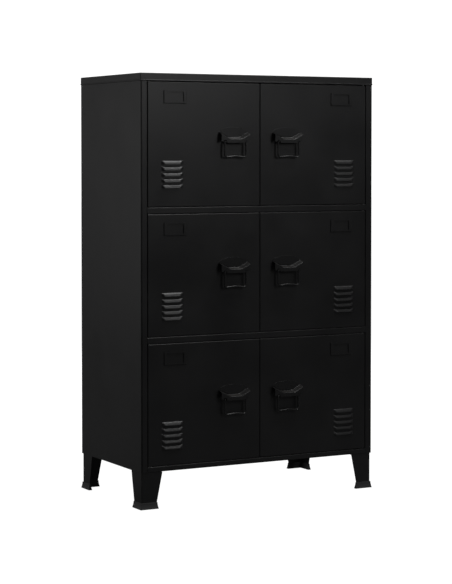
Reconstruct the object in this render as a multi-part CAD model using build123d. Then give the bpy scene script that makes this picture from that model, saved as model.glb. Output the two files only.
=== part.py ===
from build123d import *
import os

# A free-standing steel storage cabinet: three compartments one above another, each closed by a
# pair of inset doors that meet in the middle. Every door has five pressed louvres, a card holder
# and a hooded bracket with a hanging bail to pull it by. Four tapered angle legs stand on plastic
# shoes. All sizes are in millimetres. X runs across the width, Y from front to back, Z up.
# The origin is on the floor, in the middle of everything that the cabinet covers from above.

# Overall
WIDTH = 750.0
DEPTH = 400.0
HEIGHT = 1200.0
LEG_HEIGHT = 102.0
SHEET = 0.8
CLEARANCE = 0.2

# Top panel: a lid that hangs over the carcass like a shallow box
LID_LIP = 22.0
LID_PROUD = 1.0
RETURN_DEPTH = 18.0

# Front frame
STILE_WIDTH = 20.0
STILE_DEPTH = 20.0
STOP_WIDTH = 10.0
RAIL_HEIGHT = 17.6
BASE_RAIL_HEIGHT = 14.3
REAR_FLANGE = 20.0
BASE_FLANGE = 70.0

# Doors
DOOR_GAP = 1.2
HINGE_GAP = 1.5
MEETING_GAP = 1.2
DOOR_DEPTH = 17.0
DOOR_LIP = 12.0
DOOR_HEIGHT = 337.5

# Hinge pins: the axis stands this far in from the door's hinge edge and behind its face
PIVOT_FROM_EDGE = 6.0
PIVOT_BEHIND_FACE = 4.0
PIN_RADIUS = 2.0
PIN_RUNNING_CLEARANCE = 0.08
PIN_REACH = 6.0
PIN_ROOT = 9.0
COLLAR_RADIUS = 3.2
COLLAR_HEIGHT = 2.0
WASHER_RADIUS = 5.0

# Louvres, pressed outwards and open underneath
LOUVRE_COUNT = 5
LOUVRE_PITCH = 16.4
LOUVRE_CENTRE_X = 278.0
LOUVRE_BELOW_TOP = 217.0
LOUVRE_WIDTH = 67.0
LOUVRE_LIP_WIDTH = 48.0
LOUVRE_HEIGHT = 10.0
LOUVRE_REACH = 5.5

# Card holder
HOLDER_CENTRE_X = 268.5
HOLDER_BELOW_TOP = 41.0
HOLDER_WIDTH = 70.0
HOLDER_HEIGHT = 37.0
HOLDER_DEPTH = 2.6
CARD_SLOT_DEPTH = 1.6
WINDOW_WIDTH = 52.0
WINDOW_HEIGHT = 27.0

# Handle: bracket with a hood, and the bail that hangs in it. Heights count from the hood's ledge.
HANDLE_CENTRE_X = 86.0
LEDGE_BELOW_TOP = 154.5
HOOD_DEPTH = 17.0
HOOD_SHEET = 1.2
HOOD_HALF_WIDTH = 46.0
LEDGE_HALF_WIDTH = 20.0
LEDGE_RISE = 14.0
HOOD_DROP = 13.0
HOOD_END_DROP = 9.0
NOTCH_DROP = 5.5
NOTCH_INSIDE = 28.0
NOTCH_OUTSIDE = 39.0
NOTCH_SLOPE = 2.0
ARCH_RISE = 31.0
ARCH_SPRING = 17.0
BAIL_AXIS_OUT = 12.0
BAIL_AXIS_DROP = 9.0
BAIL_ROD_RADIUS = 2.5
BAIL_HALF_WIDTH = 33.5
BAIL_DROP = 53.5
BAIL_BOW = 3.5
BAIL_TOP_BEND = 4.5
BAIL_FOOT_BEND = 7.0
BAIL_BOW_BEND = 60.0
BAIL_END = 23.5
BAIL_CLEARANCE = 0.08
CHEEK_INSIDE = 25.5
CHEEK_THICKNESS = 1.5

# Door stiffener, a hat channel behind the skin
STIFFENER_CENTRE_X = 188.0
STIFFENER_WIDTH = 50.0
STIFFENER_DEPTH = 12.0
STIFFENER_FLANGE = 11.0

# Legs and shoes
LEG_INSET = 2.0
LEG_SHEET = 2.0
LEG_TOP_WIDTH = 64.0
LEG_FOOT_WIDTH = 47.0
LEG_PLATE_NOTCH = 20.0
SHOE_HEIGHT = 18.0
SHOE_FLOOR = 4.0
SHOE_WALL = 1.6
SHOE_FLARE = 4.5
BOLT_NEAR = 22.0
BOLT_FAR = 44.0
BOLT_RADIUS = 3.0
BOLT_HOLE_RADIUS = 3.2
BOLT_HEAD_ACROSS = 10.0
BOLT_HEAD_HEIGHT = 4.0
BOLT_LENGTH = 12.0
NUT_HEIGHT = 5.0

# Magnetic catches
CATCH_WIDTH = 46.0
CATCH_HEIGHT = 14.0
CATCH_DEPTH = 16.0
CATCH_GAP = 0.3
CATCH_BELOW_TOP = 3.0
CATCH_WEB = 3.0
MAGNET_WIDTH = 12.0
MAGNET_HEIGHT = 8.0
MAGNET_DEPTH = 4.0
MAGNET_CENTRE_X = 13.0
MAGNET_PROUD = 0.2

# Back panel screws
SCREW_RADIUS = 2.0
SCREW_HEAD_RADIUS = 4.0
SCREW_HEAD_HEIGHT = 2.2
SCREW_LENGTH = 6.5
SCREW_ROWS = 5
SCREW_END_MARGIN = 60.0

# Places worked out from the sizes above
front_reach = HOOD_DEPTH - LID_PROUD
rear_reach = SHOE_FLARE - LEG_INSET - LID_PROUD
lid_front = -(DEPTH + rear_reach - front_reach) / 2
lid_rear = lid_front + DEPTH
face = lid_front + LID_PROUD
rear = lid_rear - LID_PROUD
side_x = WIDTH / 2 - LID_PROUD
stile_x = side_x - STILE_WIDTH
hinge_x = stile_x - HINGE_GAP
pivot_x = hinge_x - PIVOT_FROM_EDGE
pivot_y = face + PIVOT_BEHIND_FACE
frame_x = stile_x - CLEARANCE
stop_y = face + STILE_DEPTH
panel_top = HEIGHT - SHEET
base_top = LEG_HEIGHT + BASE_RAIL_HEIGHT
lower_top = base_top + DOOR_GAP + DOOR_HEIGHT
lower_shelf_top = lower_top + DOOR_GAP + RAIL_HEIGHT
middle_top = lower_shelf_top + DOOR_GAP + DOOR_HEIGHT
upper_shelf_top = middle_top + DOOR_GAP + RAIL_HEIGHT
upper_top = HEIGHT - LID_LIP - DOOR_GAP

ROWS = {
    "upper": (upper_shelf_top + DOOR_GAP, upper_top),
    "middle": (lower_shelf_top + DOOR_GAP, middle_top),
    "lower": (base_top + DOOR_GAP, lower_top),
}
SIDES = {"left": -1, "right": 1}
ENDS = {"front": -1, "rear": 1}


def block(x, y, z):
    """A box between two opposite corners, given as a pair of limits along each axis."""
    (x0, x1), (y0, y1), (z0, z1) = sorted(x), sorted(y), sorted(z)
    return Pos((x0 + x1) / 2, (y0 + y1) / 2, (z0 + z1) / 2) * Box(x1 - x0, y1 - y0, z1 - z0)


def upright(x, y, z, radius):
    """A cylinder along Z between two heights."""
    return Pos(x, y, sum(z) / 2) * Cylinder(radius, abs(z[1] - z[0]))


def crossbar(x, y, z, radius):
    """A cylinder along X between two places."""
    return Pos(sum(x) / 2, y, z) * Rot(0, 90, 0) * Cylinder(radius, abs(x[1] - x[0]))


def slab(points, y):
    """An outline of (x, z) points, made solid between two places along Y."""
    front, back = sorted(y)
    outline = make_face(Polyline(*[(px, back, pz) for px, pz in points], close=True))
    return extrude(outline, amount=back - front, dir=(0, -1, 0))


def pin_holes(z, radius):
    """The four places where hinge pins pass one level, as upright cutters for a sheet there."""
    low, high = z
    return [
        upright(sign * pivot_x, pivot_y, (low - 1, high + 1), radius) for sign in SIDES.values()
    ]


# Carcass
def top_panel():
    """Lid with a lip all round. The front lip turns in below, where the upper doors' pins seat."""
    lip_bottom = HEIGHT - LID_LIP
    outer = block((-WIDTH / 2, WIDTH / 2), (lid_front, lid_rear), (lip_bottom, HEIGHT))
    hollow = block(
        (-WIDTH / 2 + SHEET, WIDTH / 2 - SHEET),
        (lid_front + SHEET, lid_rear - SHEET),
        (lip_bottom, panel_top),
    )
    hinge_seat = block(
        (-frame_x, frame_x), (lid_front, face + RETURN_DEPTH), (lip_bottom, lip_bottom + SHEET)
    )
    lid = outer - hollow + hinge_seat
    for hole in pin_holes((lip_bottom, lip_bottom + SHEET), PIN_RADIUS + PIN_RUNNING_CLEARANCE):
        lid -= hole
    return lid


def side_panel(side):
    """One folded sheet: the side, the front stile, its return, the door stop and a rear flange."""
    top = panel_top - CLEARANCE
    z = (LEG_HEIGHT, top)
    flange_y = rear - SHEET
    web = block((side * side_x, side * (side_x - SHEET)), (face, flange_y), z)
    stile = block((side * side_x, side * stile_x), (face, face + SHEET), z)
    stile_return = block((side * stile_x, side * (stile_x + SHEET)), (face, stop_y), z)
    stop = block(
        (side * (stile_x + SHEET), side * (stile_x - STOP_WIDTH)), (stop_y - SHEET, stop_y), z
    )
    flange = block(
        (side * side_x, side * (side_x - REAR_FLANGE)), (flange_y - SHEET, flange_y), z
    )
    panel = web + stile + stile_return + stop + flange
    for _, screw_x, screw_z in screw_places():
        if screw_x * side > 0:
            panel -= screw_hole(screw_x, screw_z)
    return panel


def screw_places():
    """Number, X and Z of each screw that holds the back panel."""
    span = panel_top - LEG_HEIGHT - 2 * SCREW_END_MARGIN
    places = []
    for row in range(SCREW_ROWS):
        z = LEG_HEIGHT + SCREW_END_MARGIN + span * row / (SCREW_ROWS - 1)
        for side in SIDES.values():
            places.append((len(places), side * (side_x - REAR_FLANGE / 2), z))
    return places


def screw_hole(x, z):
    """A cutter for a screw's shank, along Y through the back panel and the flange under it."""
    reach = SCREW_LENGTH + SHEET
    return Pos(x, rear - reach / 2 + 1, z) * Rot(90, 0, 0) * Cylinder(SCREW_RADIUS, reach)


def back_panel():
    """A flat sheet screwed on to the side panels' rear flanges from behind."""
    sheet = block((-side_x, side_x), (rear - SHEET, rear), (LEG_HEIGHT, panel_top - CLEARANCE))
    for _, x, z in screw_places():
        sheet -= screw_hole(x, z)
    return sheet


def back_panel_screws():
    """Round-headed screws, with their heads on the outside of the back panel."""
    screws = []
    for _, x, z in screw_places():
        shank = Pos(x, rear - SCREW_LENGTH / 2, z) * Rot(90, 0, 0)
        head = Pos(x, rear + SCREW_HEAD_HEIGHT / 2, z) * Rot(90, 0, 0)
        screws.append(
            shank * Cylinder(SCREW_RADIUS, SCREW_LENGTH)
            + head * Cylinder(SCREW_HEAD_RADIUS, SCREW_HEAD_HEIGHT)
        )
    return screws


def tray(top, bottom, flange_depth):
    """A level sheet with a box-section front rail, and flanges turned down on the other sides.

    It is notched at the front corners, where the side panels' door stops pass.
    """
    inside_x = side_x - SHEET - CLEARANCE
    inside_y = rear - 2 * SHEET - CLEARANCE
    notch_y = stop_y + CLEARANCE
    front_sheet = block((-frame_x, frame_x), (face, notch_y), (top - SHEET, top))
    stop_notch_x = stile_x - STOP_WIDTH - CLEARANCE
    body_sheet = block((-inside_x, inside_x), (notch_y, inside_y), (top - SHEET, top))
    rail = block((-frame_x, frame_x), (face, face + SHEET), (bottom, top))
    rail_return = block(
        (-frame_x, frame_x), (face, face + RETURN_DEPTH), (bottom, bottom + SHEET)
    )
    shape = front_sheet + body_sheet + rail + rail_return
    for side in SIDES.values():
        shape -= block(
            (side * stop_notch_x, side * side_x),
            (stop_y - SHEET - CLEARANCE, notch_y),
            (top - SHEET, top),
        )
        shape += block(
            (side * inside_x, side * (inside_x - SHEET)), (notch_y, inside_y), (bottom, top)
        )
        if flange_depth:
            shape += block(
                (side * inside_x, side * (inside_x - flange_depth)),
                (notch_y, inside_y),
                (bottom, bottom + SHEET),
            )
    shape += block((-inside_x, inside_x), (inside_y - SHEET, inside_y), (bottom, top))
    for hole in pin_holes((bottom, top), PIN_RADIUS + PIN_RUNNING_CLEARANCE):
        shape -= hole
    return shape


def shelf(top):
    """A fixed shelf, whose front rail divides two rows of doors."""
    return tray(top, top - RAIL_HEIGHT, 0)


def bottom_panel():
    """The floor of the cabinet. Its side flanges turn in underneath, and the legs bolt to them."""
    shape = tray(base_top, LEG_HEIGHT, BASE_FLANGE)
    for x, y in bolt_places():
        shape -= upright(x, y, (LEG_HEIGHT - 1, LEG_HEIGHT + SHEET + 1), BOLT_HOLE_RADIUS)
    return shape


# Doors
def louvre(centre_x, top, inset, base_y):
    """A wedge that leans out from the door, as wide at its top as LOUVRE_WIDTH."""
    half_root = LOUVRE_WIDTH / 2 - inset
    half_lip = LOUVRE_LIP_WIDTH / 2 - inset
    z_top = top - inset * 1.6
    z_low = top - LOUVRE_HEIGHT - (SHEET / 2 if inset else 0)
    lip_y = face - LOUVRE_REACH + inset
    corner = {
        (end, place): (centre_x + end * half, y, z)
        for end in (-1, 1)
        for place, half, y, z in (
            ("top", half_root, base_y, z_top),
            ("low", half_root, base_y, z_low),
            ("lip", half_lip, lip_y, z_low),
        )
    }

    def panel(*keys):
        return make_face(Polyline(*[corner[k] for k in keys], close=True))

    left, right = -1, 1
    faces = [
        panel((left, "top"), (right, "top"), (right, "low"), (left, "low")),
        panel((left, "top"), (right, "top"), (right, "lip"), (left, "lip")),
        panel((left, "low"), (right, "low"), (right, "lip"), (left, "lip")),
        panel((left, "top"), (left, "low"), (left, "lip")),
        panel((right, "top"), (right, "low"), (right, "lip")),
    ]
    return Solid(Shell(faces))


def door_panel(side, bottom, top):
    """A pressed pan: the face, four returns, and lips turned in round the back."""
    x_meet = side * MEETING_GAP / 2
    x_hinge = side * hinge_x
    back = face + DOOR_DEPTH
    pan = block((x_meet, x_hinge), (face, back), (bottom, top))
    pan -= block(
        (x_meet + side * SHEET, x_hinge - side * SHEET),
        (face + SHEET, back - SHEET),
        (bottom + SHEET, top - SHEET),
    )
    pan -= block(
        (x_meet + side * DOOR_LIP, x_hinge - side * DOOR_LIP),
        (back - SHEET, back),
        (bottom + DOOR_LIP, top - DOOR_LIP),
    )
    for number in range(LOUVRE_COUNT):
        louvre_top = top - LOUVRE_BELOW_TOP - number * LOUVRE_PITCH
        pan += louvre(side * LOUVRE_CENTRE_X, louvre_top, 0, face)
        pan -= louvre(side * LOUVRE_CENTRE_X, louvre_top, SHEET, face + SHEET)
    return pan - upright(side * pivot_x, pivot_y, (bottom - 1, top + 1), PIN_RADIUS)


def door_stiffener(side, bottom, top):
    """A hat channel, spot-welded by its two flanges behind the door's face."""
    x_mid = side * STIFFENER_CENTRE_X
    half = STIFFENER_WIDTH / 2
    skin_back = face + SHEET
    z = (bottom + DOOR_LIP + 2, top - DOOR_LIP - 2)
    hat_half = half - STIFFENER_FLANGE
    hat = block((x_mid - hat_half, x_mid + hat_half), (skin_back, skin_back + STIFFENER_DEPTH), z)
    hat -= block(
        (x_mid - hat_half + SHEET, x_mid + hat_half - SHEET),
        (skin_back, skin_back + STIFFENER_DEPTH - SHEET),
        z,
    )
    for end in (-1, 1):
        hat += block(
            (x_mid + end * (hat_half - SHEET), x_mid + end * half),
            (skin_back, skin_back + SHEET),
            z,
        )
    return hat


def card_holder(side, bottom, top):
    """A folded frame with a window. A card drops in from above, between it and the door."""
    x_mid = side * HOLDER_CENTRE_X
    z_mid = top - HOLDER_BELOW_TOP
    half_height = HOLDER_HEIGHT / 2
    edge = (HOLDER_WIDTH - WINDOW_WIDTH) / 4
    frame = block(
        (x_mid - HOLDER_WIDTH / 2, x_mid + HOLDER_WIDTH / 2),
        (face - HOLDER_DEPTH, face),
        (z_mid - half_height, z_mid + half_height),
    )
    frame -= block(
        (x_mid - HOLDER_WIDTH / 2 + edge, x_mid + HOLDER_WIDTH / 2 - edge),
        (face - CARD_SLOT_DEPTH, face),
        (z_mid - half_height + SHEET, z_mid + half_height),
    )
    return frame - block(
        (x_mid - WINDOW_WIDTH / 2, x_mid + WINDOW_WIDTH / 2),
        (face - HOLDER_DEPTH, face),
        (z_mid - WINDOW_HEIGHT / 2, z_mid + WINDOW_HEIGHT / 2),
    )


def hinge_pins(side, bottom, top):
    """Two pins that turn with the door, each with a collar inside the door's return."""
    x = side * pivot_x
    upper = upright(x, pivot_y, (top - PIN_ROOT, top + PIN_REACH), PIN_RADIUS)
    lower = upright(x, pivot_y, (bottom - PIN_REACH, bottom + PIN_ROOT), PIN_RADIUS)
    upper += upright(x, pivot_y, (top - SHEET - COLLAR_HEIGHT, top - SHEET), COLLAR_RADIUS)
    lower += upright(x, pivot_y, (bottom + SHEET, bottom + SHEET + COLLAR_HEIGHT), COLLAR_RADIUS)
    return [upper, lower]


def hinge_washers():
    """Plastic washers on the lower pins, which carry the doors."""
    washers = []
    for bottom, _ in ROWS.values():
        z = (bottom - DOOR_GAP, bottom - CLEARANCE / 2)
        for side in SIDES.values():
            disc = upright(side * pivot_x, pivot_y, z, WASHER_RADIUS)
            disc -= upright(side * pivot_x, pivot_y, z, PIN_RADIUS + PIN_RUNNING_CLEARANCE)
            disc -= block((side * frame_x, side * side_x), (face - 1, stop_y), z)
            disc -= block((-side_x, side_x), (face - 2, face + CLEARANCE), z)
            washers.append(disc)
    return washers


# Handles
def handle_bracket(side, bottom, top):
    """A plate with an arched top, and a hood that is open below and at its ends.

    The hood's lower edge is notched where the bail's arms pass when it is lifted.
    """
    right_edge = [
        (NOTCH_INSIDE, -HOOD_DROP),
        (NOTCH_INSIDE + NOTCH_SLOPE, -NOTCH_DROP),
        (NOTCH_OUTSIDE - NOTCH_SLOPE, -NOTCH_DROP),
        (NOTCH_OUTSIDE, -HOOD_END_DROP),
        (HOOD_HALF_WIDTH, -HOOD_END_DROP),
    ]
    lower_edge = [(-x, z) for x, z in reversed(right_edge)] + right_edge
    ledge_line = [
        (HOOD_HALF_WIDTH, LEDGE_RISE),
        (LEDGE_HALF_WIDTH, 0),
        (-LEDGE_HALF_WIDTH, 0),
        (-HOOD_HALF_WIDTH, LEDGE_RISE),
    ]
    springs = [(-HOOD_HALF_WIDTH, ARCH_SPRING), (HOOD_HALF_WIDTH, ARCH_SPRING)]
    sides_and_foot = Polyline(*[(x, 0, z) for x, z in [springs[0]] + lower_edge + [springs[1]]])
    half_ellipse = EllipticalCenterArc(
        (0, ARCH_SPRING), HOOD_HALF_WIDTH, ARCH_RISE - ARCH_SPRING, start_angle=0, arc_size=180
    )
    arch = Rot(90, 0, 0) * half_ellipse
    plate = extrude(make_face([sides_and_foot, arch]), amount=HOOD_SHEET, dir=(0, -1, 0))
    hood = slab(lower_edge + ledge_line, (-HOOD_DEPTH, 0))
    rise = LEDGE_RISE / (HOOD_HALF_WIDTH - LEDGE_HALF_WIDTH)
    past_end = HOOD_HALF_WIDTH + 4
    under_ledge = [
        (past_end, -HOOD_SHEET * 1.1 + rise * (past_end - LEDGE_HALF_WIDTH)),
        (LEDGE_HALF_WIDTH, -HOOD_SHEET),
        (-LEDGE_HALF_WIDTH, -HOOD_SHEET),
        (-past_end, -HOOD_SHEET * 1.1 + rise * (past_end - LEDGE_HALF_WIDTH)),
        (-past_end, -2 * HOOD_DROP),
        (past_end, -2 * HOOD_DROP),
    ]
    hood -= slab(under_ledge, (-HOOD_DEPTH + HOOD_SHEET, -HOOD_SHEET))
    bracket = plate + hood
    for end in (-1, 1):
        bracket += block(
            (end * CHEEK_INSIDE, end * (CHEEK_INSIDE + CHEEK_THICKNESS)),
            (-HOOD_DEPTH + HOOD_SHEET, -HOOD_SHEET),
            (-HOOD_DROP, -HOOD_SHEET / 2),
        )
    bore = BAIL_ROD_RADIUS + BAIL_CLEARANCE
    reach = CHEEK_INSIDE + CHEEK_THICKNESS
    for end in (-1, 1):
        bracket -= crossbar(
            (end * (CHEEK_INSIDE - 1), end * (reach + 1)), -BAIL_AXIS_OUT, -BAIL_AXIS_DROP, bore
        )
    return Pos(side * HANDLE_CENTRE_X, face, top - LEDGE_BELOW_TOP) * bracket


def bail(side, bottom, top):
    """A bent rod whose two ends turn in the hood's cheeks, its grip bowed up in the middle."""
    half = [(BAIL_END, -BAIL_AXIS_DROP), (BAIL_HALF_WIDTH, -BAIL_AXIS_DROP)]
    half += [(BAIL_HALF_WIDTH, -BAIL_DROP)]
    route = half + [(0, -BAIL_DROP + BAIL_BOW)] + [(-x, z) for x, z in reversed(half)]
    bends = [BAIL_TOP_BEND, BAIL_FOOT_BEND, BAIL_BOW_BEND, BAIL_FOOT_BEND, BAIL_TOP_BEND]
    path = FilletPolyline(*[(x, -BAIL_AXIS_OUT, z) for x, z in route], radius=bends)
    section = Plane(origin=path @ 0, z_dir=path % 0) * Circle(BAIL_ROD_RADIUS)
    rod = sweep(section, path=path)
    return Pos(side * HANDLE_CENTRE_X, face, top - LEDGE_BELOW_TOP) * rod


# Legs
def at_corner(shape, side, end):
    """Moves a shape made at the origin, with its arms along +X and +Y, to one corner."""
    if side > 0:
        shape = mirror(shape, about=Plane.YZ)
    if end > 0:
        shape = mirror(shape, about=Plane.XZ)
    corner_y = (face + LEG_INSET) if end < 0 else (rear - LEG_INSET)
    return Pos(side * (side_x - LEG_INSET), corner_y, 0) * shape


def bolt_places():
    """X and Y of each bolt that holds a leg."""
    places = []
    for end in ENDS.values():
        corner_y = (face + LEG_INSET) if end < 0 else (rear - LEG_INSET)
        for side in SIDES.values():
            corner_x = side * (side_x - LEG_INSET)
            for across, along in ((BOLT_FAR, BOLT_NEAR), (BOLT_NEAR, BOLT_FAR)):
                places.append((corner_x - side * across, corner_y - end * along))
    return places


def leg(side, end):
    """An angle of sheet steel that tapers to its foot, with a plate across its top."""
    plate_bottom = LEG_HEIGHT - LEG_SHEET
    arm = [
        (0, SHOE_FLOOR),
        (LEG_FOOT_WIDTH, SHOE_FLOOR),
        (LEG_FOOT_WIDTH, SHOE_HEIGHT),
        (LEG_TOP_WIDTH, plate_bottom),
        (0, plate_bottom),
    ]
    across = slab(arm, (0, LEG_SHEET))
    along = Rot(0, 0, 90) * slab(arm, (-LEG_SHEET, 0))
    outline = [
        (0, 0),
        (LEG_TOP_WIDTH, 0),
        (LEG_TOP_WIDTH, LEG_PLATE_NOTCH),
        (LEG_PLATE_NOTCH, LEG_TOP_WIDTH),
        (0, LEG_TOP_WIDTH),
    ]
    plate_face = make_face(Polyline(*[(x, y, plate_bottom) for x, y in outline], close=True))
    shape = across + along + extrude(plate_face, amount=LEG_SHEET, dir=(0, 0, 1))
    for x, y in ((BOLT_FAR, BOLT_NEAR), (BOLT_NEAR, BOLT_FAR)):
        shape -= upright(x, y, (plate_bottom - 1, LEG_HEIGHT + 1), BOLT_HOLE_RADIUS)
    return at_corner(shape, side, end)


def shoe(side, end):
    """A plastic shoe that the leg's foot pushes into. It flares towards the floor."""

    def outline(out, z):
        tip = LEG_FOOT_WIDTH + out
        inner = LEG_SHEET + out
        points = [(-out, -out), (tip, -out), (tip, inner), (inner, inner), (inner, tip), (-out, tip)]
        return make_face(Polyline(*[(x, y, z) for x, y in points], close=True))

    shape = loft([outline(SHOE_FLARE, 0), outline(SHOE_WALL, SHOE_HEIGHT)], ruled=True)
    z = (SHOE_FLOOR, SHOE_HEIGHT)
    shape -= block((0, LEG_FOOT_WIDTH), (0, LEG_SHEET), z)
    shape -= block((0, LEG_SHEET), (0, LEG_FOOT_WIDTH), z)
    return at_corner(shape, side, end)


def hexagon(x, y, z, height):
    """A hexagonal prism that stands on a height."""
    profile = Plane((x, y, z)) * RegularPolygon(BOLT_HEAD_ACROSS / 2, 6, major_radius=False)
    return extrude(profile, amount=height)


def leg_bolts():
    """Hexagon bolts, put in from below through the leg's plate and the cabinet's floor flange."""
    seat = LEG_HEIGHT - LEG_SHEET
    return [
        hexagon(x, y, seat - BOLT_HEAD_HEIGHT, BOLT_HEAD_HEIGHT)
        + upright(x, y, (seat - 1, seat + BOLT_LENGTH), BOLT_RADIUS)
        for x, y in bolt_places()
    ]


def leg_nuts():
    """Nuts inside the floor of the cabinet, one on each leg bolt."""
    seat = LEG_HEIGHT + SHEET
    return [
        hexagon(x, y, seat, NUT_HEIGHT) - upright(x, y, (seat - 1, seat + NUT_HEIGHT + 1), BOLT_RADIUS)
        for x, y in bolt_places()
    ]


# Magnetic catches
def catch_ceiling(top):
    """The underside of the sheet above a row of doors, which the catch is fixed to."""
    return panel_top if top == upper_top else top + DOOR_GAP + RAIL_HEIGHT - SHEET


def magnet_places(top):
    """X and Z of a catch's two magnets."""
    z = top - CATCH_BELOW_TOP - CATCH_HEIGHT / 2
    return [(side * MAGNET_CENTRE_X, z) for side in SIDES.values()]


def magnetic_catch(top):
    """A double catch: a housing behind the meeting edges of two doors, hung on a web."""
    front = face + DOOR_DEPTH + CATCH_GAP + MAGNET_PROUD
    high = top - CATCH_BELOW_TOP
    half = CATCH_WIDTH / 2
    web_front = face + RETURN_DEPTH + 2
    housing = block((-half, half), (front, front + CATCH_DEPTH), (high - CATCH_HEIGHT, high))
    housing += block((-half, half), (web_front, web_front + CATCH_WEB), (high - 2, catch_ceiling(top)))
    for x, z in magnet_places(top):
        housing -= block(
            (x - MAGNET_WIDTH / 2, x + MAGNET_WIDTH / 2),
            (front, front + MAGNET_DEPTH - MAGNET_PROUD),
            (z - MAGNET_HEIGHT / 2, z + MAGNET_HEIGHT / 2),
        )
    return housing


def catch_magnets():
    """All the catches' magnets, whose faces stand just proud of the housings."""
    front = face + DOOR_DEPTH + CATCH_GAP
    return [
        block(
            (x - MAGNET_WIDTH / 2, x + MAGNET_WIDTH / 2),
            (front, front + MAGNET_DEPTH),
            (z - MAGNET_HEIGHT / 2, z + MAGNET_HEIGHT / 2),
        )
        for _, top in ROWS.values()
        for x, z in magnet_places(top)
    ]


# Every piece of the cabinet, by the name of its node
pieces = {
    "top_panel": top_panel(),
    "back_panel": back_panel(),
    "bottom_panel": bottom_panel(),
    "upper_shelf": shelf(upper_shelf_top),
    "lower_shelf": shelf(lower_shelf_top),
    "back_panel_screws": Compound(back_panel_screws()),
    "hinge_washers": Compound(hinge_washers()),
    "leg_bolts": Compound(leg_bolts()),
    "leg_nuts": Compound(leg_nuts()),
    "catch_magnets": Compound(catch_magnets()),
}
for side_name, side in SIDES.items():
    pieces[f"{side_name}_side_panel"] = side_panel(side)
    for end_name, end in ENDS.items():
        pieces[f"{end_name}_{side_name}_leg"] = leg(side, end)
        pieces[f"{end_name}_{side_name}_shoe"] = shoe(side, end)
for row_name, (bottom, top) in ROWS.items():
    pieces[f"{row_name}_magnetic_catch"] = magnetic_catch(top)
    for side_name, side in SIDES.items():
        door = f"{row_name}_{side_name}"
        pieces[f"{door}_door_panel"] = door_panel(side, bottom, top)
        pieces[f"{door}_door_stiffener"] = door_stiffener(side, bottom, top)
        pieces[f"{door}_card_holder"] = card_holder(side, bottom, top)
        pieces[f"{door}_hinge_pins"] = Compound(hinge_pins(side, bottom, top))
        pieces[f"{door}_handle_bracket"] = handle_bracket(side, bottom, top)
        pieces[f"{door}_bail"] = bail(side, bottom, top)

os.makedirs("parts", exist_ok=True)
for name, shape in pieces.items():
    export_step(shape, f"parts/{name}.step")
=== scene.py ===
import math

import bmesh
import bpy
from mathutils import Matrix, Vector


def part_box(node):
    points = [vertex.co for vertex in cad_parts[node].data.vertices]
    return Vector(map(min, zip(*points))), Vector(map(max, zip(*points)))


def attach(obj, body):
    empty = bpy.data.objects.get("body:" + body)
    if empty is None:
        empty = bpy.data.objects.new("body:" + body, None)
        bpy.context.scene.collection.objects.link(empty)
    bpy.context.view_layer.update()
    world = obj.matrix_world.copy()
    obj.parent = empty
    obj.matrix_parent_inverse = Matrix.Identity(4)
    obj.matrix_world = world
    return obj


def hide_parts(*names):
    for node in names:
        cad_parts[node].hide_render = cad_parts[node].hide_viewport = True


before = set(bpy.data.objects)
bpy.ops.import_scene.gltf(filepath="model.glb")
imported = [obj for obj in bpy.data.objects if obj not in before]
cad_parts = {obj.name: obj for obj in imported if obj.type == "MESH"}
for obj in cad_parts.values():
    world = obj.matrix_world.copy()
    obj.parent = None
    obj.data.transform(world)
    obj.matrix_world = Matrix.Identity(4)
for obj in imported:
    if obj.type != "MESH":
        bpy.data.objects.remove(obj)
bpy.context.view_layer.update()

MM = 0.001
ROWS = ("upper", "middle", "lower")
SIDES = {"left": -1, "right": 1}

# Studio: a pale floor that runs into a pale backdrop, a long lens from the cabinet's left, and
# large soft lights. The camera sees floor and backdrop white; what they throw on the cabinet is
# much weaker, as in a studio whose far walls are dark. The floor is clear from below.
CAMERA_AZIMUTH = math.radians(-28.381)
CAMERA_TILT = math.radians(2.105)
CAMERA_DISTANCE = 5.4374
CAMERA_HEIGHT = 0.9796
CAMERA_ASIDE = -0.0016
CAMERA_LENS = 114.85
CAMERA_SHIFT = -0.12
BACKDROP_SEEN = 1.15
BACKDROP_GLOW = 0.10
FLOOR_SIZE = 60.0
FLOOR_SEEN = 1.0
FLOOR_ALBEDO = 0.12

lid_low, lid_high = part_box("top_panel")
aim = Vector(((lid_low.x + lid_high.x) / 2, (lid_low.y + lid_high.y) / 2, 0))
away = Vector((math.sin(CAMERA_AZIMUTH), -math.cos(CAMERA_AZIMUTH), 0))
aside = Vector((math.cos(CAMERA_AZIMUTH), math.sin(CAMERA_AZIMUTH), 0))
camera = bpy.data.objects.new("camera", bpy.data.cameras.new("camera"))
camera.location = aim + away * CAMERA_DISTANCE + aside * CAMERA_ASIDE + Vector((0, 0, CAMERA_HEIGHT))
camera.rotation_euler = (math.pi / 2 - CAMERA_TILT, 0, CAMERA_AZIMUTH)
camera.data.lens = CAMERA_LENS
camera.data.shift_y = CAMERA_SHIFT
bpy.context.scene.collection.objects.link(camera)
bpy.context.scene.camera = camera
bpy.context.scene.view_settings.view_transform = "Standard"


def seen_and_lit(tree, seen, thrown):
    """A strength that is one value where the camera looks and another where light is gathered."""
    path = tree.nodes.new("ShaderNodeLightPath")
    mix = tree.nodes.new("ShaderNodeMix")
    mix.inputs["A"].default_value = thrown
    mix.inputs["B"].default_value = seen
    tree.links.new(path.outputs["Is Camera Ray"], mix.inputs["Factor"])
    return mix.outputs["Result"]


world = bpy.data.worlds.new("studio")
bpy.context.scene.world = world
world.use_nodes = True
backdrop = world.node_tree.nodes["Background"]
backdrop.inputs["Color"].default_value = (1, 1, 1, 1)
world.node_tree.links.new(
    seen_and_lit(world.node_tree, BACKDROP_SEEN, BACKDROP_GLOW), backdrop.inputs["Strength"]
)

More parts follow.
